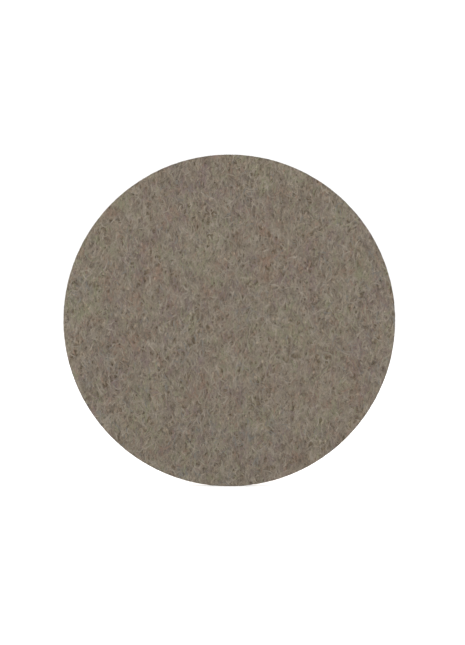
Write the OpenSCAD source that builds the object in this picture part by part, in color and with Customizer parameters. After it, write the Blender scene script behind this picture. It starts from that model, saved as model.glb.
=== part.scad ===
// Stick-on felt polishing disc for the flat face plate of a lapidary machine.
// The disc stands on edge: its spin axis is Y, its polishing face looks along -Y and its
// sticky back looks along +Y. The origin is the centre of the adhesive face that meets
// the plate. Left and right are as seen by someone facing the felt.

/* [Felt] */
// Diameter of the disc, the same for the felt and for every layer behind it
disc_d = 152.4; // [101.6:0.1:203.2]
// Thickness of the pressed wool felt
felt_t = 6.35; // [3.2:0.05:12.7]

/* [Adhesive backing] */
// Thickness of the adhesive coat between the felt and the carrier film
felt_adhesive_t = 0.10; // [0.05:0.01:0.25]
// Thickness of the polyester film that carries both adhesive coats
carrier_t = 0.05; // [0.02:0.01:0.15]
// Thickness of the adhesive coat that grips the machine's face plate
plate_adhesive_t = 0.10; // [0.05:0.01:0.25]

/* [Release liner] */
// Thickness of the silicone-coated paper that covers the adhesive
liner_t = 0.15; // [0.05:0.01:0.30]
// Width of the upright slit where the two liner halves meet
slit_w = 0.40; // [0.2:0.05:1.0]

/* [Hidden] */
disc_r = disc_d / 2;
// Each layer's nearer face, counted back along -Y from the plate
carrier_back = -plate_adhesive_t;
felt_adhesive_back = carrier_back - carrier_t;
felt_back = felt_adhesive_back - felt_adhesive_t;
// Facets on the round edge
round_fn = 180;
// How far the cutting block reaches past the disc
block_margin = 1;

// A round layer whose back face is at y = back and which is t thick towards -Y
module round_layer(back, t) {
    translate([0, back, 0])
        rotate([90, 0, 0])
            cylinder(r = disc_r, h = t, $fn = round_fn);
}

// One half of the release liner: side is -1 for the left half and 1 for the right half
module liner_half(side) {
    reach = disc_r + block_margin;
    intersection() {
        round_layer(liner_t, liner_t);
        translate([side > 0 ? slit_w / 2 : -reach - slit_w / 2, -block_margin, -reach])
            cube([reach, liner_t + 2 * block_margin, 2 * reach]);
    }
}

// Dense pressed wool, which holds the polish and does the work
module felt_disc() {
    color([0.50, 0.46, 0.41])
        round_layer(felt_back, felt_t);
}

// Adhesive coat that bonds the felt to the film
module felt_side_adhesive() {
    color([0.86, 0.80, 0.62])
        round_layer(felt_adhesive_back, felt_adhesive_t);
}

// Clear polyester film that keeps the adhesive flat
module carrier_film() {
    color([0.80, 0.86, 0.90])
        round_layer(carrier_back, carrier_t);
}

// Pressure-sensitive coat that sticks to the face plate
module plate_side_adhesive() {
    color([0.90, 0.84, 0.66])
        round_layer(0, plate_adhesive_t);
}

// Left half of the peel-off paper
module release_liner_left() {
    color([0.78, 0.66, 0.48])
        liner_half(-1);
}

// Right half of the peel-off paper
module release_liner_right() {
    color([0.74, 0.62, 0.44])
        liner_half(1);
}

felt_disc();
felt_side_adhesive();
carrier_film();
plate_side_adhesive();
release_liner_left();
release_liner_right();
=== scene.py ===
"""Looks of a stick-on felt polishing disc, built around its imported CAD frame.

The disc stands on edge. Its polishing face looks along -Y and its papered back along +Y.
Lengths are in metres, and MM turns millimetres into them.
"""

import math
from dataclasses import dataclass

import bpy
import numpy as np
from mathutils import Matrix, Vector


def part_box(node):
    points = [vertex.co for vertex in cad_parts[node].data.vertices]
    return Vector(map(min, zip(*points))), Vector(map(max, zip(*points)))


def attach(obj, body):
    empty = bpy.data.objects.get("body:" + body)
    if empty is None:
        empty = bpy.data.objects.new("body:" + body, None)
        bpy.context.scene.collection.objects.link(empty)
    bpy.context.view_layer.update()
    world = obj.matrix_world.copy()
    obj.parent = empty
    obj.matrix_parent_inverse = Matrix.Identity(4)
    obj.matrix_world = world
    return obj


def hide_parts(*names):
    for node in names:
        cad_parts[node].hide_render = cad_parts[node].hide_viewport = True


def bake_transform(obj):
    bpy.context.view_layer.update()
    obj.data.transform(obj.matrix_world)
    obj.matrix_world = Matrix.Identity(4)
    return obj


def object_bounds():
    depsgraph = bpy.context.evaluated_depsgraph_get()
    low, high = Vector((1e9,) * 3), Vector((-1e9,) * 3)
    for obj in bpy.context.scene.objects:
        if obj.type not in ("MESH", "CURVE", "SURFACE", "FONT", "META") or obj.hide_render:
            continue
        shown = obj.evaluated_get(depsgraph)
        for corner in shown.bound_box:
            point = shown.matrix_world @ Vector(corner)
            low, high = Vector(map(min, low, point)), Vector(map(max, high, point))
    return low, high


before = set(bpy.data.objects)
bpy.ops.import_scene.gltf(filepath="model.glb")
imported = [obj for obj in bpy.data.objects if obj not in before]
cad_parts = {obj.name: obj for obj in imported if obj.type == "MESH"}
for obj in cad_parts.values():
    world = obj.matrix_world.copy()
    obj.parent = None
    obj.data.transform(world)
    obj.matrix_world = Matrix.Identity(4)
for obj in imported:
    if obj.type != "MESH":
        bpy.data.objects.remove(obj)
CAD_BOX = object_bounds()

MM = 0.001
FELT_LOW, FELT_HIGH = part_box("felt_disc")
RADIUS = (FELT_HIGH.x - FELT_LOW.x) / 2
FACE_Y = FELT_LOW.y  # the polishing face
FELT_BACK_Y = FELT_HIGH.y

# ---------------------------------------------------------------- noise for shapes

NOISE_TABLE = 256
NOISE_LAYERS = 3  # value noises, each turned and shifted, that add up to one field
NOISE_TURN, NOISE_TURN_STEP = 0.4, 2.1  # radians
NOISE_SHIFT_U, NOISE_SHIFT_V = 17, 5  # cells
NOISE_SEED_STEP = 100
NOISE_GAIN = 1.25  # brings their sum to about unit spread
GRAIN_STRETCH = 1.4  # blobs and pits are this much longer along the grain than across it


def value_noise(u, v, seed):
    """Smooth random field from -1 to 1 over two coordinates counted in cells."""
    table = np.random.default_rng(seed).uniform(-1, 1, (NOISE_TABLE, NOISE_TABLE))
    i, j = np.floor(u).astype(int), np.floor(v).astype(int)
    fu, fv = u - i, v - j
    fu, fv = fu * fu * (3 - 2 * fu), fv * fv * (3 - 2 * fv)
    i0, j0 = i % NOISE_TABLE, j % NOISE_TABLE
    i1, j1 = (i + 1) % NOISE_TABLE, (j + 1) % NOISE_TABLE
    low = table[i0, j0] * (1 - fu) + table[i1, j0] * fu
    high = table[i0, j1] * (1 - fu) + table[i1, j1] * fu
    return low * (1 - fv) + high * fv


def felt_noise(x, z, size_mm, seed):
    """Cloudy field of about unit spread, in blobs size_mm wide that run along the grain."""
    u, v = x / (size_mm * MM), z / (size_mm * GRAIN_STRETCH * MM)
    total = np.zeros_like(u)
    for k in range(NOISE_LAYERS):
        turn = NOISE_TURN + NOISE_TURN_STEP * k
        c, s = math.cos(turn), math.sin(turn)
        along_u = c * u - s * v + NOISE_SHIFT_U * k
        along_v = s * u + c * v + NOISE_SHIFT_V * k
        total += value_noise(along_u, along_v, seed + NOISE_SEED_STEP * k)
    return total * NOISE_GAIN


def soft_step(value, low, high):
    """Rises smoothly from 0 at low to 1 at high."""
    t = np.clip((value - low) / (high - low), 0, 1)
    return t * t * (3 - 2 * t)


PIT_SIZE_MM = 0.72
PIT_SEED = 51
PIT_LIP, PIT_FLOOR = 0.0, 1.8  # noise levels where a pit begins and where it is deepest
PIT_DEPTH = 0.30 * MM
# Rises and dips of the face, each as size in mm, height in mm and seed
BUMPS = ((0.8, 0.045, 11), (2.0, 0.040, 12), (6.0, 0.030, 13), (18.0, 0.020, 14))
RIM_REACH = 2.2 * MM  # how far in from the rim the die's pressure shows, and how far the painted shade at the rim reaches
RIM_CALM = 0.3  # share of its relief that the face keeps right at the rim


def pits(x, z):
    """1 in the small hollows between the locks of wool, 0 on the rest of the face."""
    return soft_step(felt_noise(x, z, PIT_SIZE_MM, PIT_SEED), PIT_LIP, PIT_FLOOR)


def near_rim(x, z):
    """Rises from 0 to 1 over the last stretch of the face before the die-cut rim."""
    return np.clip(1 - (RADIUS - np.hypot(x, z)) / RIM_REACH, 0, 1)


def calm_rim(x, z):
    """Share of its relief that the face keeps where the die pressed it down by the rim."""
    return 1 - (1 - RIM_CALM) * near_rim(x, z)


def face_relief(x, z):
    """Height of the pressed felt above its mean level, in metres, at a place on the face."""
    height = -PIT_DEPTH * pits(x, z)
    for size_mm, height_mm, seed in BUMPS:
        height += height_mm * MM * felt_noise(x, z, size_mm, seed)
    return height * calm_rim(x, z)


# ---------------------------------------------------------------- colours of the wool


@dataclass
class Shade:
    """A dyed wool colour, and where in the mix there is more of it."""

    colour: tuple
    share: float  # how common it is
    light: float  # how strongly it gathers where the wool is light
    red: float  # and where it is reddish
    yellow: float  # and where it is yellowish


# Columns: colour, share, light, red, yellow
SHADES = {
    "oat": Shade((0.300, 0.260, 0.208), 0.75, 0.95, -0.1, 0.1),
    "ash": Shade((0.266, 0.231, 0.183), 1.0, 0.55, 0.0, -0.4),
    "fawn": Shade((0.259, 0.215, 0.161), 1.5, 0.35, 0.1, 0.4),
    "stone": Shade((0.227, 0.189, 0.144), 2.6, 0.0, 0.0, 0.0),
    "taupe": Shade((0.192, 0.156, 0.116), 1.5, -0.35, 0.1, 0.0),
    "umber": Shade((0.158, 0.126, 0.091), 0.7, -0.85, 0.2, 0.1),
    "soot": Shade((0.130, 0.104, 0.077), 0.3, -1.0, 0.0, -0.1),
    "rust": Shade((0.236, 0.162, 0.116), 0.42, -0.2, 1.3, 0.6),
    "heather": Shade((0.203, 0.151, 0.133), 0.45, -0.1, 1.3, -1.0),
    "moss": Shade((0.221, 0.208, 0.134), 0.80, 0.1, -1.3, 0.7),
    "slate": Shade((0.188, 0.177, 0.157), 0.28, -0.1, -0.5, -1.2),
}
SHADE_NAMES = list(SHADES)
SHADE_COLOURS = np.array([shade.colour for shade in SHADES.values()])

# Blotches of each tint, as strength, size in mm and seed
RED_BLOTCHES = ((0.62, 3.0, 64), (0.53, 9.0, 65))
YELLOW_BLOTCHES = ((0.70, 3.0, 66), (0.60, 10.0, 67))
LIGHT_BLOTCHES = ((1.10, 0.9, 61), (0.55, 2.2, 62))
BROAD_LIGHT = ((0.02, 9.0, 63),)
RED_DARKENS = 0.22  # reddish wool is a little darker


def blotches(x, z, kinds):
    """Sum of several cloudy fields at a place."""
    return sum(strength * felt_noise(x, z, size_mm, seed) for strength, size_mm, seed in kinds)


def shade_shares(x, z, brighter=0.0):
    """Share of each shade in the wool at a place, as a table with a column for each shade."""
    red = blotches(x, z, RED_BLOTCHES)
    yellow = blotches(x, z, YELLOW_BLOTCHES)
    light = blotches(x, z, LIGHT_BLOTCHES)
    light += blotches(x, z, BROAD_LIGHT) - RED_DARKENS * red + brighter
    columns = []
    for shade in SHADES.values():
        pull = shade.light * light + shade.red * red + shade.yellow * yellow
        columns.append(shade.share * np.exp(pull))
    table = np.stack(columns, -1)
    return table / table.sum(-1, keepdims=True)


def pick_shades(rng, x, z, brighter):
    """One shade number for each hair, drawn from the shares at its place."""
    total = np.cumsum(shade_shares(x, z, brighter), 1)
    draw = rng.random(len(x))[:, None]
    return (draw > total).sum(1).clip(0, len(SHADE_NAMES) - 1)


def mixed_colour(x, z):
    """The shades' average colour at a place."""
    return shade_shares(x, z) @ SHADE_COLOURS


# ---------------------------------------------------------------- mesh building


def link_object(name, mesh):
    obj = bpy.data.objects.new(name, mesh)
    bpy.context.scene.collection.objects.link(obj)
    return obj


def mesh_object(name, verts, faces, smooth=True):
    mesh = bpy.data.meshes.new(name)
    mesh.from_pydata(np.asarray(verts).tolist(), [], faces)
    mesh.validate()
    mesh.polygons.foreach_set("use_smooth", [smooth] * len(mesh.polygons))
    mesh.update()
    return link_object(name, mesh)


def paint(obj, name, colours):
    """Stores a colour for each vertex, for a material to read by that name."""
    attribute = obj.data.color_attributes.new(name, "FLOAT_COLOR", "POINT")
    rgba = np.concatenate([colours, np.ones((len(colours), 1))], 1)
    attribute.data.foreach_set("color", rgba.astype(np.float32).ravel())


def square_to_disc(a, b):
    """Maps a square from -1 to 1 evenly onto the unit disc."""
    wide = np.abs(a) >= np.abs(b)
    big = np.where(wide, a, b)
    small = np.where(wide, b, a)
    turn = np.pi / 4 * np.divide(small, big, out=np.zeros_like(big), where=big != 0)
    u, v = big * np.cos(turn), big * np.sin(turn)
    return np.where(wide, u, v), np.where(wide, v, u)


def grid_quads(index):
    """Quads over a grid of vertex numbers, which face -Y where rows run to +X, columns to +Z."""
    corners = [index[:-1, :-1], index[1:, :-1], index[1:, 1:], index[:-1, 1:]]
    return np.stack(corners, -1).reshape(-1, 4)


def grid_rim(index):
    """The outline of a grid of vertex numbers, once round, clockwise as seen from -Y."""
    sides = [index[0, :-1], index[:-1, -1], index[-1, :0:-1], index[:0:-1, 0]]
    return np.concatenate(sides)


def band(near, far):
    """Quads between two loops of vertex numbers, the far one further along +Y."""
    return np.stack([near, np.roll(near, -1), np.roll(far, -1), far], -1)


FACE_GRID = 272
EDGE_ROWS = 11
ARRIS = 0.35 * MM  # how far the cut edge rounds over at the polishing face
RIM_CORE_PAINTED_SHADE = 0.30  # painted shade: how much darker the core is painted right at the rim
EDGE_PAINTED_SHADE = 0.82  # painted shade on the cut edge: the cut ends of the hairs look darker than their sides, so the edge is painted darker
CORE_SINK = 0.16 * MM  # the matted core lies this far under the loose hairs on top
PIT_PAINTED_SHADE = np.array((0.49, 0.46, 0.41))  # painted shade: colour left at the bottom of a pit
ARRIS_SWEEP = 0.98  # just under 1, so that the arris stops short of an upright wall
# Roughness of the cut edge: size round the disc and through the felt in mm, and seed
EDGE_ROUGHNESS = ((0.8, 0.5, 21), (3.5, 0.9, 22))
EDGE_ROUGHNESS_MM = 0.06
EDGE_ROUGH_END = 0.96  # the roughness fades to both sides, but not quite to nothing at the back
EDGE_GRAIN = 2  # the edge's blotches are squeezed this much through the felt's thickness


def core_face():
    """Vertices, quads, rim and colours of the bumpy polishing face of the core; the colours hold
    painted shade in the pits and along the rim.
    """
    line = np.linspace(-1, 1, FACE_GRID)
    u, v = square_to_disc(*np.meshgrid(line, line, indexing="ij"))
    reach = RADIUS - CORE_SINK
    x, z = (u * reach).ravel(), (v * reach).ravel()
    over = np.clip((np.hypot(x, z) - (reach - ARRIS)) / ARRIS, 0, 1)
    rounding = ARRIS * (1 - np.sqrt(1 - ARRIS_SWEEP * over**2))
    y = FACE_Y + CORE_SINK - face_relief(x, z) + rounding
    index = np.arange(FACE_GRID**2).reshape(FACE_GRID, FACE_GRID)
    # painted shade: the core's colour is darkened at the bottom of the pits
    colours = mixed_colour(x, z) * (1 - (1 - PIT_PAINTED_SHADE) * pits(x, z)[:, None])
    # painted shade: the core's colour is also darkened towards the rim
    colours *= 1 - RIM_CORE_PAINTED_SHADE * near_rim(x, z)[:, None] ** 2
    return np.stack([x, y, z], -1), grid_quads(index).tolist(), grid_rim(index), colours


def felt_core():
    """The dense core of the felt: a bumpy face, a rough die-cut edge and a flat back."""
    front, faces, last, colours = core_face()
    face_count = len(faces)
    angle = np.arctan2(front[last, 2], front[last, 0])
    arc = angle * RADIUS
    start_y = front[last, 1]
    count = len(last)
    verts, paints = [front], [colours]
    total = len(front)
    for row in range(1, EDGE_ROWS + 1):
        share = row / EDGE_ROWS
        depth = start_y + (FELT_BACK_Y - start_y) * share
        rough = sum(
            EDGE_ROUGHNESS_MM * value_noise(arc / (round_mm * MM), depth / (deep_mm * MM), seed)
            for round_mm, deep_mm, seed in EDGE_ROUGHNESS
        )
        fade = math.sin(math.pi * min(share, EDGE_ROUGH_END))
        radius = RADIUS - CORE_SINK + rough * MM * fade
        verts.append(np.stack([radius * np.cos(angle), depth, radius * np.sin(angle)], -1))
        # painted shade: the cut edge's colour is painted darker than the face's
        paints.append(EDGE_PAINTED_SHADE * mixed_colour(arc, depth * EDGE_GRAIN))
        here = np.arange(total, total + count)
        faces += band(last, here).tolist()
        last = here
        total += count
    verts.append(np.array([[0, FELT_BACK_Y, 0]]))
    paints.append(mixed_colour(np.zeros(1), np.zeros(1)))
    faces += [[int(last[i]), int(last[(i + 1) % count]), total] for i in range(count)]
    core = mesh_object("felt_core", np.concatenate(verts), faces)
    # the painted colours hold the wool's mix of shades together with painted shade in the pits, at
    # the rim and on the cut edge
    paint(core, "wool_mix_and_painted_shade", np.concatenate(paints))
    core.data.materials.append(felt_material("felt_face", streak=(0.5, 0.5, 2.2), line_mm=1.5))
    core.data.materials.append(felt_material("felt_cut_edge", streak=(2.2, 0.35, 2.2), line_mm=1.3))
    slots = np.arange(len(faces)) >= face_count
    core.data.polygons.foreach_set("material_index", slots.astype(np.int32))
    return core


# ---------------------------------------------------------------- wool hairs

HAIR_SIDES = 3
HAIR_FLATNESS = 0.42  # a hair's thickness, as a share of its width
HAIR_TAPER = 0.22  # taken off each side of a hair by its ends, as a share of its full width
PIECE_TRIANGLES = 195_000  # most triangles in one piece, so that no mesh is unwieldy
LENGTH_SCATTER = 0.35  # of the logarithm of a hair's length
LENGTH_LIMITS = (1.0, 11)  # shortest and longest hair, in millimetres
RIPPLE_PITCH = (1.6, 4.0)  # shortest and longest ripple, in millimetres
TINY = 1e-12  # keeps a length of nothing from being divided by
TINY_RUN = 1e-9  # the same, for the distance in metres between a hair's two ends


@dataclass
class Hairs:
    """A kind of hair. Lengths and widths are in millimetres, turns in radians."""

    name: str
    seed: int
    count: int  # locks; a kind with one hair to a lock has as many hairs
    points: int  # points along a hair, its two pointed ends included
    length: float
    width: tuple  # thinnest, thickest
    lift: tuple  # how far its middle stands above its ends, least and most
    grained: float  # share of the hairs that follow the grain
    spread: float  # their scatter about the grain
    curl: float  # scatter of the even bend per millimetre
    wave: float  # scatter of the ripple in their direction
    brighter: float  # how much lighter than the rest of the wool they tend to be
    lock: int  # hairs that lie side by side in one lock
    gap: float  # between the hairs of a lock


LOCKS = Hairs(
    name="felt_locks",
    seed=41,
    count=9500,
    points=7,
    length=3.6,
    width=(0.20, 0.30),
    lift=(0.06, 0.20),
    grained=0.75,
    spread=0.45,
    curl=0.34,
    wave=0.30,
    brighter=-0.2,
    lock=3,
    gap=0.17,
)
STRANDS = Hairs(
    name="felt_strands",
    seed=42,
    count=4600,
    points=8,
    length=5.2,
    width=(0.17, 0.26),
    lift=(0.12, 0.28),
    grained=0.65,
    spread=0.55,
    curl=0.34,
    wave=0.5,
    brighter=0.9,
    lock=3,
    gap=0.15,
)
FUZZ = Hairs(
    name="felt_fuzz",
    seed=44,
    count=11000,
    points=8,
    length=5.0,
    width=(0.07, 0.12),
    lift=(0.16, 0.36),
    grained=0.55,
    spread=0.8,
    curl=0.35,
    wave=0.6,
    brighter=0.1,
    lock=1,
    gap=0.0,
)
EDGE = Hairs(
    name="felt_edge_hairs",
    seed=43,
    count=5600,
    points=6,
    length=2.4,
    width=(0.12, 0.22),
    lift=(0.04, 0.13),
    grained=0.75,
    spread=0.3,
    curl=0.1,
    wave=0.2,
    # painted shade: the edge's hairs are drawn from the darker shades, so the cut edge looks darker
    brighter=-0.8,
    lock=1,
    gap=0.0,
)
LOCK_FAN = 0.07  # scatter of a hair's direction about its lock's
LOCK_SLIP = 0.35 * MM  # and of its place along the lock
STRAY_SHADE = 0.05  # share of the hairs whose shade isn't their lock's


def hair_lines(kind, rng, count):
    """Flat curly lines about the origin, count x points x 2, in metres.

    The second coordinate runs along the grain.
    """
    length_mm = rng.lognormal(math.log(kind.length), LENGTH_SCATTER, count)
    length = np.clip(length_mm, *LENGTH_LIMITS) * MM
    s = length[:, None] * np.linspace(-0.5, 0.5, kind.points)
    heading = np.where(
        rng.random(count) < kind.grained,
        math.pi / 2 + rng.normal(0, kind.spread, count),
        rng.uniform(0, math.pi, count),
    )
    bend = rng.normal(0, kind.curl, count) / MM
    ripple = rng.normal(0, kind.wave, count)
    pitch = rng.uniform(*RIPPLE_PITCH, count) * MM
    phase = rng.uniform(0, 2 * math.pi, count)
    swing = np.sin(2 * math.pi * s / pitch[:, None] + phase[:, None])
    angle = heading[:, None] + bend[:, None] * s + ripple[:, None] * swing
    step = np.stack([np.cos(angle), np.sin(angle)], -1)
    step = (step[:, 1:] + step[:, :-1]) / 2 * (length / (kind.points - 1))[:, None, None]
    line = np.concatenate([np.zeros((count, 1, 2)), np.cumsum(step, 1)], 1)
    return line - line.mean(1, keepdims=True)


def fan_out(kind, rng, x, z):
    """Splits each line into the nearly parallel hairs of a lock."""
    x, z = np.repeat(x, kind.lock, 0), np.repeat(z, kind.lock, 0)
    count = len(x)
    turn = rng.normal(0, LOCK_FAN, count)[:, None]
    middle_x, middle_z = x.mean(1, keepdims=True), z.mean(1, keepdims=True)
    u, v = x - middle_x, z - middle_z
    u, v = np.cos(turn) * u - np.sin(turn) * v, np.sin(turn) * u + np.cos(turn) * v
    run_x, run_z = u[:, -1] - u[:, 0], v[:, -1] - v[:, 0]
    run = np.hypot(run_x, run_z) + TINY_RUN
    side = (np.arange(count) % kind.lock - (kind.lock - 1) / 2) * kind.gap * MM / run
    slip = rng.normal(0, LOCK_SLIP, count) / run
    x = u + middle_x + (slip * run_x - side * run_z)[:, None]
    z = v + middle_z + (slip * run_z + side * run_x)[:, None]
    return x, z


def hair_tubes(points, outward, width):
    """Vertices and triangles of three-sided hairs that run through points."""
    count, rings = len(points), points.shape[1] - 2
    tangent = np.gradient(points, axis=1)
    tangent /= np.linalg.norm(tangent, axis=-1, keepdims=True) + TINY
    side = np.cross(tangent, outward)
    side /= np.linalg.norm(side, axis=-1, keepdims=True) + TINY
    up = np.cross(side, tangent)
    along = np.linspace(-1, 1, points.shape[1])
    half = (0.5 - HAIR_TAPER * np.abs(along) ** 3)[None, :, None] * width[:, None, None]
    corners = []
    for k in range(HAIR_SIDES):
        turn = math.pi / 2 + 2 * math.pi * k / HAIR_SIDES
        offset = math.cos(turn) * side + HAIR_FLATNESS * math.sin(turn) * up
        corners.append(points + half * offset)
    body = np.stack(corners, 2)[:, 1:-1].reshape(count, rings * HAIR_SIDES, 3)
    verts = np.concatenate([points[:, :1], body, points[:, -1:]], 1)
    tip = rings * HAIR_SIDES + 1
    faces = []
    for k in range(HAIR_SIDES):
        m = (k + 1) % HAIR_SIDES
        first, last = 1, 1 + (rings - 1) * HAIR_SIDES
        faces += [(0, first + k, first + m), (tip, last + m, last + k)]
        for a in range(first, last, HAIR_SIDES):
            b = a + HAIR_SIDES
            faces += [(a + k, b + m, a + m), (a + k, b + k, b + m)]
    faces = np.array(faces)
    triangles = faces[None] + (np.arange(count) * (tip + 1))[:, None, None]
    return verts.reshape(-1, 3), triangles.reshape(-1, 3), len(faces)


def hair_piece(name, points, outward, width, shade):
    """One object holding many hairs, each in the material of its own shade."""
    verts, triangles, per_hair = hair_tubes(points, outward, width)
    mesh = bpy.data.meshes.new(name)
    mesh.vertices.add(len(verts))
    mesh.vertices.foreach_set("co", verts.astype(np.float32).ravel())
    mesh.loops.add(triangles.size)
    mesh.loops.foreach_set("vertex_index", triangles.astype(np.int32).ravel())
    mesh.polygons.add(len(triangles))
    starts = np.arange(0, triangles.size, 3, dtype=np.int32)
    mesh.polygons.foreach_set("loop_start", starts)
    for shade_name in SHADE_NAMES:
        mesh.materials.append(HAIR_MATERIALS[shade_name])
    mesh.polygons.foreach_set("material_index", np.repeat(shade, per_hair).astype(np.int32))
    mesh.update(calc_edges=True)
    mesh.polygons.foreach_set("use_smooth", np.ones(len(triangles), bool))
    return link_object(name, mesh)


def hair_pieces(kind, points, outward, width, shade):
    """The hairs of one kind, split over as many objects as their triangles need."""
    per_hair = 2 * HAIR_SIDES * (kind.points - 2)
    size = PIECE_TRIANGLES // per_hair
    made = []
    for first in range(0, len(points), size):
        part = slice(first, first + size)
        name = f"{kind.name}_{first // size + 1}"
        made.append(hair_piece(name, points[part], outward[part], width[part], shade[part]))
    return made


RIM_MARGIN = 0.2 * MM  # hairs on the face stop this far inside the cut edge
FACE_ROOT = 0.06 * MM  # the ends of the face's hairs are this deep in the core
EDGE_ROOT = 0.05 * MM  # and those of the edge's hairs, from the core's mean radius
EDGE_SPAN = (0.04, 0.97)  # part of the felt's thickness where the edge's hairs have their middles
EDGE_FACE_GAP, EDGE_BACK_GAP = 0.2 * MM, 0.08 * MM  # and how near the two faces they may come
RIM_HAIR_PAINTED_SHADE = 1.8  # painted shade: pull towards the dark shades right at the rim
PIT_LIMIT = 0.36  # a hair that runs over more pit than this isn't laid


def face_hairs(kind):
    """Curly hairs pressed flat on the polishing face, kept off the pits."""
    rng = np.random.default_rng(kind.seed)
    tries = 2 * kind.count
    line = hair_lines(kind, rng, tries)
    place = np.sqrt(rng.random(tries)) * (RADIUS - RIM_MARGIN)
    turn = rng.uniform(0, 2 * math.pi, tries)
    x = line[..., 0] + (place * np.cos(turn))[:, None]
    z = line[..., 1] + (place * np.sin(turn))[:, None]
    laid = np.flatnonzero(pits(x, z).mean(1) < PIT_LIMIT)[: kind.count]
    middle_x, middle_z = x[laid].mean(1), z[laid].mean(1)
    # painted shade: right at the rim the hairs are drawn from darker shades
    brighter = kind.brighter - RIM_HAIR_PAINTED_SHADE * near_rim(middle_x, middle_z) ** 2
    shade = np.repeat(pick_shades(rng, middle_x, middle_z, brighter), kind.lock)
    x, z = fan_out(kind, rng, x[laid], z[laid])
    count = len(x)
    stray = rng.random(count) < STRAY_SHADE
    own = pick_shades(rng, x.mean(1), z.mean(1), kind.brighter)
    shade = np.where(stray, own, shade)
    pull = np.minimum(1, (RADIUS - RIM_MARGIN) / np.hypot(x, z))
    x, z = x * pull, z * pull
    arch = 1 - np.linspace(-1, 1, kind.points)[None] ** 2
    lift = rng.uniform(*kind.lift, count)[:, None] * MM
    width = rng.uniform(*kind.width, count) * MM
    height = face_relief(x, z) - CORE_SINK - FACE_ROOT + lift * arch * calm_rim(x, z)
    points = np.stack([x, FACE_Y - height, z], -1)
    outward = np.broadcast_to(np.array([0.0, -1.0, 0.0]), points.shape)
    return hair_pieces(kind, points, outward, width, shade)


def edge_hairs(kind):
    """Short cut hairs on the die-cut edge, which mostly run round the disc."""
    rng = np.random.default_rng(kind.seed)
    line = hair_lines(kind, rng, kind.count)
    thick = FELT_BACK_Y - FACE_Y
    y = FACE_Y + thick * rng.uniform(*EDGE_SPAN, kind.count)[:, None] + line[..., 0]
    y = np.clip(y, FACE_Y + EDGE_FACE_GAP, FELT_BACK_Y - EDGE_BACK_GAP)
    angle = rng.uniform(0, 2 * math.pi, kind.count)[:, None] + line[..., 1] / RADIUS
    arch = 1 - np.linspace(-1, 1, kind.points)[None] ** 2
    lift = rng.uniform(*kind.lift, kind.count)[:, None] * MM
    width = rng.uniform(*kind.width, kind.count) * MM
    radius = RADIUS - CORE_SINK - EDGE_ROOT + lift * arch
    outward = np.stack([np.cos(angle), np.zeros_like(angle), np.sin(angle)], -1)
    points = outward * radius[..., None]
    points[..., 1] = y
    # painted shade: the edge's hairs take darker shades than the face's
    shade = pick_shades(rng, angle.mean(1) * RADIUS, y.mean(1) * EDGE_GRAIN, kind.brighter)
    return hair_pieces(kind, points, outward, width, shade)


# ---------------------------------------------------------------- adhesive backing

SHEET_GRID = 100
# Ripples in a coat's surface, each as size in mm, height in mm and seed
RIPPLES = ((1.6, 0.003, 31), (5.0, 0.006, 32), (15.0, 0.008, 33))
COAT_GAP = 0.02 * MM  # a coat's back is this far short of the next layer, and ripples by no more
EDGE_WANDER_MM = 0.04
WANDER_CELLS, WANDER_SHIFT = 20, 40  # noise cells to a radius, and away from the noise's seam
SHARP_ANGLE = 40  # degrees
FACE, RIM, BACK = 0, 1, 2  # a sheet's materials: towards the felt, round the edge, away


def sheet_object(name, x, z, face_y, back_y, materials, bulge=0.0):
    """A thin closed sheet over a grid of places, with a rim that may bulge out."""
    face = np.stack([x, face_y, z], -1).reshape(-1, 3)
    back = np.stack([x, back_y, z], -1).reshape(-1, 3)
    index = np.arange(x.size).reshape(x.shape)
    outline = grid_rim(index)
    middle = (face[outline] + back[outline]) / 2
    out = middle * (1, 0, 1)
    middle = middle + bulge * out / np.linalg.norm(out, axis=1, keepdims=True)
    ring = 2 * x.size + np.arange(len(outline))
    groups = (
        grid_quads(index),
        band(outline, ring),
        band(ring, outline + x.size),
        grid_quads(index)[:, ::-1] + x.size,
    )
    piece = mesh_object(name, np.concatenate([face, back, middle]), np.concatenate(groups).tolist())
    for material in materials:
        piece.data.materials.append(material)
    slots = np.repeat([FACE, RIM, RIM, BACK], [len(group) for group in groups])
    piece.data.polygons.foreach_set("material_index", slots.astype(np.int32))
    piece.data.set_sharp_from_angle(angle=math.radians(SHARP_ANGLE))
    return piece


def layer(node, inset_mm, bulge_mm, seed, material, edge):
    """A coat or film of the backing, whose cut edge wanders a little in and out."""
    low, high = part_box(node)
    line = np.linspace(-1, 1, SHEET_GRID)
    u, v = square_to_disc(*np.meshgrid(line, line, indexing="ij"))
    angle = np.arctan2(v, u)
    round_x = WANDER_CELLS * np.cos(angle) + WANDER_SHIFT
    round_z = WANDER_CELLS * np.sin(angle) + WANDER_SHIFT
    wander = value_noise(round_x, round_z, seed)
    reach = RADIUS - (inset_mm + EDGE_WANDER_MM * wander) * MM
    x, z = u * reach, v * reach
    ripple = sum(h * MM * felt_noise(x, z, size, seed + k) for size, h, k in RIPPLES)
    back = high.y - COAT_GAP + np.clip(ripple, -COAT_GAP, COAT_GAP)
    face = np.full_like(x, low.y)
    materials = [material, edge, material]
    return sheet_object(node + "_coat", x, z, face, back, materials, bulge_mm * MM)


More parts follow.
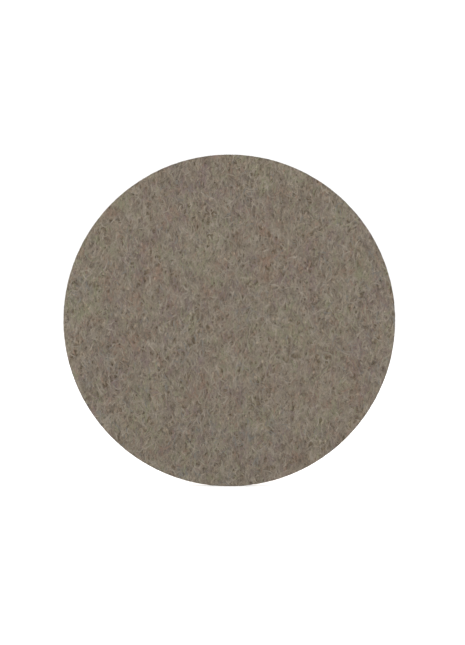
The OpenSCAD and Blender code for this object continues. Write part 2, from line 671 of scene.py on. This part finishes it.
LINER_COLUMNS, LINER_ROWS = 110, 100
LINER_LOW, LINER_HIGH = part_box("release_liner_right")
SLIT_HALF = LINER_LOW.x
LAST_COLUMN = 0.985  # a column at 1 would shrink to a point on the rim
COCKLES = ((9.0, 0.014, 35), (22.0, 0.030, 36))  # slow waves in the paper, as in RIPPLES
LINER_SEED = 70
SLIT_LIFT = 0.30 * MM  # how far the paper springs up along the slit
SLIT_LIFT_REACH = 7.0 * MM
SLIT_LIFT_EVEN, SLIT_LIFT_UNEVEN = 0.6, 0.4  # shares of that lift that are steady and that vary
SLIT_WAVE = 14 * MM  # length of that variation along the slit
SLIT_WAVE_SHIFT, SLIT_WAVE_LANE = 50, 9.5  # where it is read from the noise, in cells
LINER_TRIM = 0.06 * MM  # the paper is cut this far inside the rim


def liner_half(name, side, materials):
    """One half of the release paper, with its columns running along the slit."""
    column = np.linspace(0, LAST_COLUMN, LINER_COLUMNS) * math.pi / 2
    row = np.linspace(-1, 1, LINER_ROWS)
    reach = RADIUS - LINER_TRIM
    places = SLIT_HALF + (reach - SLIT_HALF) * np.sin(column)
    across, up = np.meshgrid(places, row, indexing="ij")
    z = up * np.sqrt(reach**2 - across**2)
    seed = LINER_SEED + side
    waves = sum(h * MM * felt_noise(across, z, size, seed + k) for size, h, k in COCKLES)
    lift_share = np.clip(1 - (across - SLIT_HALF) / SLIT_LIFT_REACH, 0, 1) ** 2
    lane = np.full_like(z, side + SLIT_WAVE_LANE)
    variation = value_noise(z / SLIT_WAVE + SLIT_WAVE_SHIFT, lane, seed)
    uneven = SLIT_LIFT_EVEN + SLIT_LIFT_UNEVEN * variation
    lift = SLIT_LIFT * lift_share * uneven + np.abs(waves)
    face = LINER_LOW.y + lift
    back = LINER_HIGH.y + lift
    if side < 0:  # the left half is the mirror image, with its columns still in order of X
        across = -across[::-1]
        z = z[::-1]
        face = face[::-1]
        back = back[::-1]
    return sheet_object(name, across, z, face, back, materials)


# ---------------------------------------------------------------- materials


def principled(name):
    material = bpy.data.materials.new(name)
    material.use_nodes = True
    return material, material.node_tree, material.node_tree.nodes["Principled BSDF"]


def add(tree, kind, **values):
    node = tree.nodes.new(kind)
    for key, value in values.items():
        setattr(node, key, value)
    return node


def link(tree, source, target):
    tree.links.new(source, target)


def hair_material(shade_name):
    """A hair is dyed one colour all over, so its colour sits on the shader's own socket."""
    material, _, shader = principled(f"wool_hair_{shade_name}")
    shader.inputs["Base Color"].default_value = (*SHADE_COLOURS[SHADE_NAMES.index(shade_name)], 1)
    shader.inputs["Roughness"].default_value = 0.75
    shader.inputs["Specular IOR Level"].default_value = 0.3
    shader.inputs["Sheen Weight"].default_value = 0.1
    shader.inputs["Sheen Roughness"].default_value = 0.5
    return material


MM_PER_METRE = 1000


def mm_coordinates(tree, scale):
    """Object coordinates in millimetres, stretched by scale."""
    coordinates = add(tree, "ShaderNodeTexCoord")
    mapping = add(tree, "ShaderNodeMapping")
    mapping.inputs["Scale"].default_value = [MM_PER_METRE / s for s in scale]
    link(tree, coordinates.outputs["Object"], mapping.inputs["Vector"])
    return mapping


def noise(tree, scale, detail=3, rough=0.55, distort=0.0):
    """Noise whose blobs measure about scale millimetres along X, Y and Z."""
    mapping = mm_coordinates(tree, scale)
    node = add(tree, "ShaderNodeTexNoise")
    node.inputs["Scale"].default_value = 1
    node.inputs["Detail"].default_value = detail
    node.inputs["Roughness"].default_value = rough
    node.inputs["Distortion"].default_value = distort
    link(tree, mapping.outputs[0], node.inputs["Vector"])
    return node


def ramp(tree, source, stops, smooth=False):
    """Colours read off a scale from 0 to 1, given as pairs of a place and its colour."""
    node = add(tree, "ShaderNodeValToRGB")
    node.color_ramp.interpolation = "EASE" if smooth else "LINEAR"
    while len(node.color_ramp.elements) < len(stops):
        node.color_ramp.elements.new(0.5)
    for element, (place, colour) in zip(node.color_ramp.elements, stops):
        element.position = place
        element.color = (*colour, 1)
    link(tree, source, node.inputs["Fac"])
    return node


# A Mix node has a set of sockets for each type of value, all under the same names
MIX_FACTOR = 0
MIX_FLOAT_A, MIX_FLOAT_B = 2, 3
MIX_COLOUR_A, MIX_COLOUR_B = 6, 7
MIX_COLOUR_RESULT = 2


def mix(tree, kind, amount, a, b):
    """Colour a blended with b, where each input is a constant or a socket to read."""
    node = add(tree, "ShaderNodeMix", data_type="RGBA", blend_type=kind)
    for value, socket in ((amount, MIX_FACTOR), (a, MIX_COLOUR_A), (b, MIX_COLOUR_B)):
        if isinstance(value, bpy.types.NodeSocket):
            link(tree, value, node.inputs[socket])
        elif socket == MIX_FACTOR:
            node.inputs[socket].default_value = value
        else:
            node.inputs[socket].default_value = (*value, 1)
    return node.outputs[MIX_COLOUR_RESULT]


def grey(level):
    return (level, level, level)


def uneven_roughness(tree, shader, field, low, high):
    """Roughness that drifts with a noise, from low where it is dark to high where it is light."""
    worn = ramp(tree, field.outputs["Fac"], ((0.3, grey(low)), (0.7, grey(high))))
    link(tree, worn.outputs[0], shader.inputs["Roughness"])


def felt_material(name, streak, line_mm):
    """Matted wool: the painted mix of shades with its painted shade in pits, at the rim and on the
    cut edge, streaks of hair along streak (mm) and fine lines.
    """
    material, tree, shader = principled(name)
    # reads the painted colours: the wool's mix and its painted shade together
    wool = add(tree, "ShaderNodeAttribute", attribute_name="wool_mix_and_painted_shade")
    hair = noise(tree, streak, detail=4, rough=0.65, distort=1.2)
    streaks = ramp(tree, hair.outputs["Fac"], ((0.30, (0.42, 0.37, 0.32)), (0.70, grey(1.30))))
    colour = mix(tree, "MULTIPLY", 1.0, wool.outputs["Color"], streaks.outputs[0])
    pale = fibre_lines(tree, line_mm, width=0.045, seed=5)
    colour = mix(tree, "MULTIPLY", scaled(tree, pale, 0.8), colour, grey(1.40))
    dark = fibre_lines(tree, 0.8 * line_mm, width=0.045, seed=6)
    colour = mix(tree, "MULTIPLY", scaled(tree, dark, 0.8), colour, grey(0.66))
    link(tree, colour, shader.inputs["Base Color"])
    uneven_roughness(tree, shader, hair, 0.95, 0.78)
    bump(tree, shader, hair.outputs["Fac"], strength=0.6, distance_mm=0.15)
    shader.inputs["Specular IOR Level"].default_value = 0.2
    shader.inputs["Sheen Weight"].default_value = 0.15
    shader.inputs["Sheen Roughness"].default_value = 0.5
    return material


def voronoi(tree, size_mm):
    """Distance to the nearest of many points that lie about size_mm apart, in that unit."""
    node = add(tree, "ShaderNodeTexVoronoi")
    node.inputs["Scale"].default_value = 1
    link(tree, mm_coordinates(tree, (size_mm,) * 3).outputs[0], node.inputs["Vector"])
    return node


def bump(tree, shader, height, strength, distance_mm):
    """Fine relief that is too small to model."""
    node = add(tree, "ShaderNodeBump")
    node.inputs["Strength"].default_value = strength
    node.inputs["Distance"].default_value = distance_mm * MM
    link(tree, height, node.inputs["Height"])
    link(tree, node.outputs[0], shader.inputs["Normal"])


FIBRE_STRETCH = 1.6  # loose fibres run mostly along Z
FIBRE_SHIFT = (7.3, 3.1, 5.7)  # moves each seed's fibres to another part of the noise
FIBRE_CORE = 0.25  # share of a line's half width that is at full strength


def fibre_lines(tree, size_mm, width, seed):
    """Thin curling lines, like loose fibres about size_mm apart: 1 on a line, 0 off it."""
    mapping = mm_coordinates(tree, (size_mm, size_mm, FIBRE_STRETCH * size_mm))
    mapping.inputs["Location"].default_value = [seed * shift for shift in FIBRE_SHIFT]
    field = add(tree, "ShaderNodeTexNoise")
    for key, value in (("Scale", 1), ("Detail", 1.5), ("Roughness", 0.6), ("Distortion", 0.8)):
        field.inputs[key].default_value = value
    link(tree, mapping.outputs[0], field.inputs["Vector"])
    centred = add(tree, "ShaderNodeMath", operation="SUBTRACT")
    link(tree, field.outputs["Fac"], centred.inputs[0])
    centred.inputs[1].default_value = 0.5
    away = add(tree, "ShaderNodeMath", operation="ABSOLUTE")
    link(tree, centred.outputs[0], away.inputs[0])
    stops = ((FIBRE_CORE * width, grey(1)), (width, grey(0)))
    return ramp(tree, away.outputs[0], stops).outputs[0]


def scaled(tree, source, amount):
    """A value times a constant."""
    node = add(tree, "ShaderNodeMath", operation="MULTIPLY")
    link(tree, source, node.inputs[0])
    node.inputs[1].default_value = amount
    return node.outputs[0]


def adhesive_material(name, rough, coat):
    """Opaque stand-in for a tacky amber coat that shows the felt's hairs and caught air."""
    material, tree, shader = principled(name)
    wool = noise(tree, (0.8, 0.8, 1.6), detail=4, rough=0.62, distort=1.0)
    colour = ramp(
        tree,
        wool.outputs["Fac"],
        ((0.28, (0.118, 0.070, 0.022)), (0.5, (0.172, 0.108, 0.038)), (0.72, (0.232, 0.155, 0.060))),
    ).outputs[0]
    cloud = noise(tree, (7, 7, 9), detail=3, rough=0.5, distort=0.4)
    wetted = ramp(tree, cloud.outputs["Fac"], ((0.34, grey(0.90)), (0.66, grey(1.08))), smooth=True)
    colour = mix(tree, "MULTIPLY", 1.0, colour, wetted.outputs[0])
    pale = fibre_lines(tree, 2.6, width=0.020, seed=1)
    colour = mix(tree, "MIX", scaled(tree, pale, 0.4), colour, (0.33, 0.24, 0.115))
    dark = fibre_lines(tree, 2.1, width=0.022, seed=2)
    colour = mix(tree, "MIX", scaled(tree, dark, 0.5), colour, (0.075, 0.052, 0.030))
    air = ramp(tree, voronoi(tree, 2.6).outputs["Distance"], ((0.07, grey(0.6)), (0.13, grey(0))))
    colour = mix(tree, "MIX", air.outputs[0], colour, (0.50, 0.43, 0.30))
    link(tree, colour, shader.inputs["Base Color"])
    uneven_roughness(tree, shader, cloud, rough - 0.06, rough + 0.06)
    peel = noise(tree, (2.4, 2.4, 2.4), detail=2, rough=0.5)
    bump(tree, shader, peel.outputs["Fac"], strength=0.8, distance_mm=0.10)
    shader.inputs["Coat Weight"].default_value = coat
    shader.inputs["Coat Roughness"].default_value = 0.08
    return material


def film_material(name, rough):
    """Clear polyester, seen only as a thin pale line round the edge."""
    material, tree, shader = principled(name)
    cloud = noise(tree, (3, 1, 3), detail=3, rough=0.5)
    tint = ramp(tree, cloud.outputs["Fac"], ((0.3, (0.60, 0.64, 0.66)), (0.7, (0.76, 0.80, 0.82))))
    link(tree, tint.outputs[0], shader.inputs["Base Color"])
    uneven_roughness(tree, shader, cloud, rough - 0.05, rough + 0.05)
    return material


def paper_material(name, pale, rough, coat):
    """Kraft paper: a faintly cloudy sheet of matted fibres, with pale and dark ones loose on it."""
    material, tree, shader = principled(name)
    cloud = noise(tree, (1.5, 1.5, 1.9), detail=6, rough=0.68, distort=0.2)
    base = ramp(
        tree,
        cloud.outputs["Fac"],
        ((0.28, (0.380, 0.256, 0.143)), (0.5, (0.428, 0.294, 0.166)), (0.72, (0.478, 0.335, 0.194))),
    )
    colour = mix(tree, "MULTIPLY", 1.0, base.outputs[0], grey(pale))
    web = noise(tree, (1.3, 1.3, 40), detail=2, rough=0.5)
    streaks = ramp(tree, web.outputs["Fac"], ((0.3, grey(0.975)), (0.7, grey(1.02))))
    colour = mix(tree, "MULTIPLY", 1.0, colour, streaks.outputs[0])
    dark = fibre_lines(tree, 2.3, width=0.016, seed=3)
    colour = mix(tree, "MIX", scaled(tree, dark, 0.40), colour, (0.235, 0.150, 0.078))
    light = fibre_lines(tree, 1.9, width=0.016, seed=4)
    colour = mix(tree, "MIX", scaled(tree, light, 0.40), colour, (0.640, 0.490, 0.320))
    speck = ramp(tree, voronoi(tree, 5.5).outputs["Distance"], ((0.035, grey(0.7)), (0.06, grey(0))))
    colour = mix(tree, "MIX", speck.outputs[0], colour, (0.155, 0.098, 0.052))
    link(tree, colour, shader.inputs["Base Color"])
    uneven_roughness(tree, shader, cloud, rough - 0.06, rough + 0.08)
    bump(tree, shader, cloud.outputs["Fac"], strength=0.35, distance_mm=0.06)
    shader.inputs["Coat Weight"].default_value = coat
    shader.inputs["Coat Roughness"].default_value = 0.3
    return material


HAIR_MATERIALS = {shade_name: hair_material(shade_name) for shade_name in SHADE_NAMES}

# ---------------------------------------------------------------- scene


def make_felt():
    core = felt_core()
    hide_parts("felt_disc")
    pieces = [core, *face_hairs(LOCKS), *face_hairs(STRANDS), *face_hairs(FUZZ), *edge_hairs(EDGE)]
    for piece in pieces:
        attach(piece, "pad")


def make_backing():
    coat = adhesive_material("amber_adhesive", rough=0.14, coat=1.0)
    coat_edge = adhesive_material("amber_cut_edge", rough=0.60, coat=0.0)
    film = film_material("polyester_film", rough=0.17)
    film_edge = film_material("film_cut_edge", rough=0.55)
    # Columns: node, inset and bulge of its rim in mm, seed, material, edge's material, slot
    layers = (
        ("felt_side_adhesive", 0.02, 0.03, 81, coat, coat_edge, "adhesive"),
        ("carrier_film", 0.08, 0.0, 82, film, film_edge, "polyester_film"),
        ("plate_side_adhesive", 0.04, 0.03, 83, coat, coat_edge, "adhesive"),
    )
    for node, inset_mm, bulge_mm, seed, material, edge, slot in layers:
        piece = layer(node, inset_mm, bulge_mm, seed, material, edge)
        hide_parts(node)
        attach(piece, "pad")


def make_liner():
    release_side = paper_material("liner_release_side", pale=1.08, rough=0.34, coat=0.45)
    cut_edge = paper_material("liner_cut_edge", pale=0.92, rough=0.70, coat=0.0)
    outside = paper_material("liner_outside", pale=1.0, rough=0.50, coat=0.15)
    for side, hand in ((-1, "left"), (1, "right")):
        paper = [release_side, cut_edge, outside]
        piece = liner_half(f"liner_paper_{hand}", side, paper)
        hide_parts(f"release_liner_{hand}")
        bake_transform(piece)


LENS_MM = 100
DISC_SHARE = 0.5153  # the disc's diameter as a share of the frame's height
DISC_RIGHT, DISC_UP = -0.0096, 0.0063  # the disc's place off the frame's centre, in diameters


def make_camera():
    data = bpy.data.cameras.new("camera")
    data.lens = LENS_MM
    camera = bpy.data.objects.new("camera", data)
    bpy.context.scene.collection.objects.link(camera)
    frame_height = 2 * RADIUS / DISC_SHARE
    distance = frame_height * data.lens / data.sensor_width
    right, up = -DISC_RIGHT * 2 * RADIUS, -DISC_UP * 2 * RADIUS
    camera.location = (right, FACE_Y - distance, up)
    camera.rotation_euler = (math.pi / 2, 0, 0)
    bpy.context.scene.camera = camera


def area_light(name, place, size, power):
    """A round lamp that looks at the middle of the disc."""
    data = bpy.data.lights.new(name, "AREA")
    data.shape = "DISK"
    data.size = size
    data.energy = power
    light = bpy.data.objects.new(name, data)
    bpy.context.scene.collection.objects.link(light)
    light.location = place
    aim = [-p for p in place]
    light.rotation_euler = Vector(aim).to_track_quat("-Z", "Y").to_euler()


WORLD_LIGHT = 0.70  # how brightly the white surroundings light the disc
WORLD_SEEN = 1.05  # and how bright they look to the camera


def make_world():
    world = bpy.data.worlds.new("studio")
    bpy.context.scene.world = world
    world.use_nodes = True
    tree = world.node_tree
    background = tree.nodes["Background"]
    seen = add(tree, "ShaderNodeLightPath")
    strength = add(tree, "ShaderNodeMix", data_type="FLOAT")
    strength.inputs[MIX_FLOAT_A].default_value = WORLD_LIGHT
    strength.inputs[MIX_FLOAT_B].default_value = WORLD_SEEN
    link(tree, seen.outputs["Is Camera Ray"], strength.inputs[MIX_FACTOR])
    link(tree, strength.outputs[0], background.inputs["Strength"])
    background.inputs["Color"].default_value = (1, 1, 1, 1)


FLOOR_HALF = 12.0
FLOOR_GLOW = 0.55  # lets the floor look as white as the surroundings


def make_floor():
    half = FLOOR_HALF
    level = CAD_BOX[0].z
    corners = [(-half, -half, level), (half, -half, level), (half, half, level), (-half, half, level)]
    floor = mesh_object("floor", corners, [(0, 1, 2, 3)], smooth=False)
    material, _, shader = principled("white_floor")
    shader.inputs["Base Color"].default_value = (0.9, 0.9, 0.9, 1)
    shader.inputs["Roughness"].default_value = 0.9
    shader.inputs["Specular IOR Level"].default_value = 0.1
    shader.inputs["Emission Color"].default_value = (1, 1, 1, 1)
    shader.inputs["Emission Strength"].default_value = FLOOR_GLOW
    floor.data.materials.append(material)


def make_studio():
    make_world()
    area_light("key", place=(-1.7, -1.9, 1.7), size=0.9, power=45)
    area_light("back_fill", place=(0.9, 1.3, 1.0), size=0.8, power=7)
    make_floor()


bpy.context.scene.view_settings.view_transform = "Standard"
make_camera()
make_studio()
make_felt()
make_backing()
make_liner()
